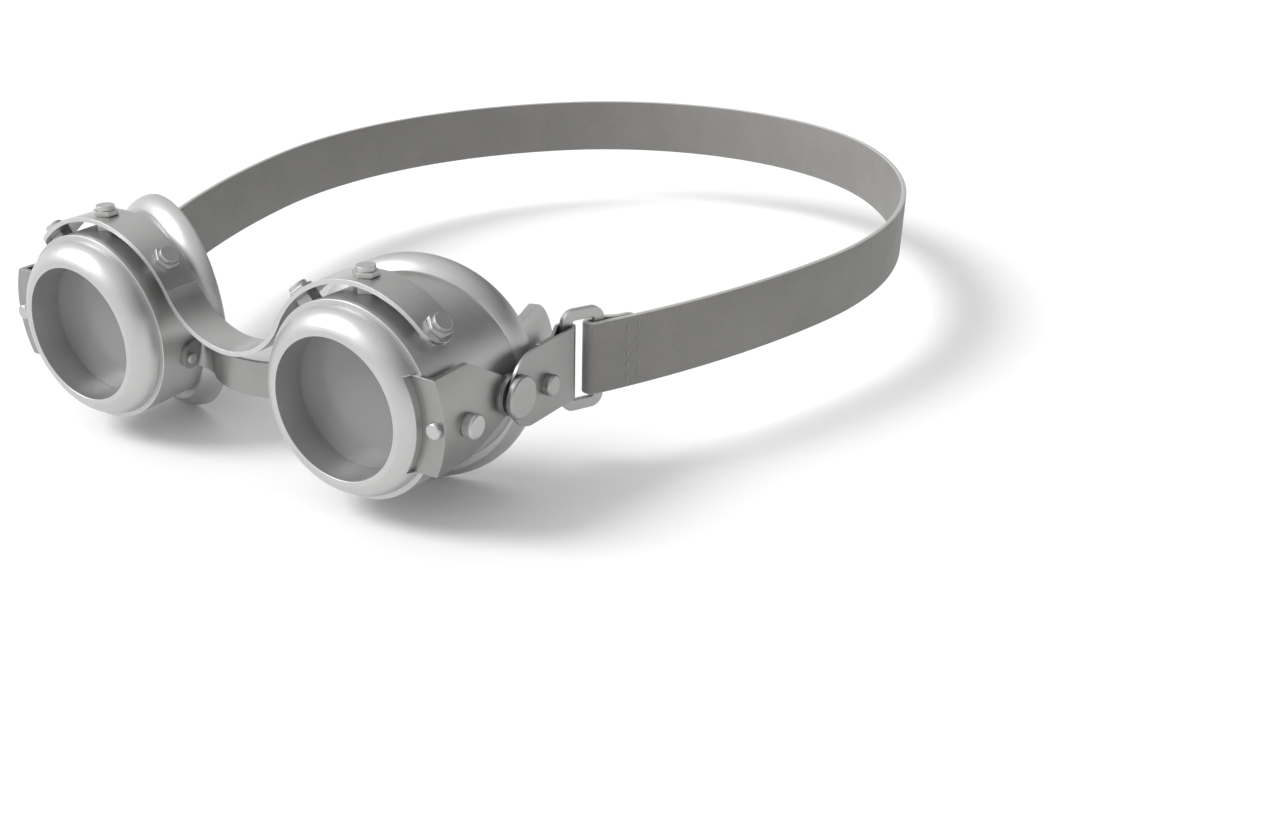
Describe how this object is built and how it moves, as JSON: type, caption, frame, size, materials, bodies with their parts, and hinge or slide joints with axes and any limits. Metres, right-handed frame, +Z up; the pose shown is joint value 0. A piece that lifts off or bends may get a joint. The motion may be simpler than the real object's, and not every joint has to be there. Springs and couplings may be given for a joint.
{
  "type": "goggles",
  "caption": "Goggles with two round metal eyepieces and flared eyecups, a bolted top band, a nose bridge, side brackets and a strap that pivots on thumb screws.",
  "frame": {"origin": "on the surface that the eyecup rims touch, under the middle of the goggles and their strap", "axes": "+X from the left eyepiece to the right one as seen from the front, -Y where the lenses face, +Z up"},
  "size_m": [0.1644, 0.2264, 0.0473],
  "materials": {
    "cup_metal": "satin",
    "bracket_steel": "satin",
    "bright_steel": "polished",
    "ring_steel": "satin",
    "smoked_glass": "smoked",
    "gasket_rubber": "matt",
    "strap_leather": "matt"
  },
  "bodies": {
    "goggles_frame": {"bezel_left": "cup_metal", "bezel_right": "cup_metal", "lens_left": "smoked_glass", "lens_right": "smoked_glass", "lens_gasket_left": "gasket_rubber", "lens_gasket_right": "gasket_rubber", "barrel_left": "cup_metal", "barrel_right": "cup_metal", "eyecup_left": "cup_metal", "eyecup_right": "cup_metal", "inner_pane_left": "smoked_glass", "inner_pane_right": "smoked_glass", "top_band": "bracket_steel", "band_spacers": "bright_steel", "band_collars": "bright_steel", "band_screws": "bright_steel", "nose_bridge": "bracket_steel", "bridge_rivets": "bright_steel", "side_bracket_left": "bracket_steel", "side_bracket_right": "bracket_steel", "bracket_rivets_left": "bright_steel", "bracket_rivets_right": "bright_steel"},
    "strap_harness": {"strap": "strap_leather", "strap_ring_left": "ring_steel", "strap_ring_right": "ring_steel", "strap_lug_left": "bracket_steel", "strap_lug_right": "bracket_steel", "lug_rivet_left": "bright_steel", "lug_rivet_right": "bright_steel"},
    "knob_left": {"hinge_knob_left": "bright_steel"},
    "knob_right": {"hinge_knob_right": "bright_steel"}
  },
  "joints": [
    {"name": "strap_swing", "type": "hinge", "parent": "goggles_frame", "child": "strap_harness", "pos_m": [0, -0.08919, 0.0232], "axis": [1, 0, 0], "range_deg": [-35, 35]},
    {"name": "knob_turn_left", "type": "hinge", "parent": "goggles_frame", "child": "knob_left", "pos_m": [-0.05815, -0.08919, 0.0232], "axis": [-1, 0, 0], "range_deg": [0, 270]},
    {"name": "knob_turn_right", "type": "hinge", "parent": "goggles_frame", "child": "knob_right", "pos_m": [0.05815, -0.08919, 0.0232], "axis": [1, 0, 0], "range_deg": [0, 270]}
  ]
}
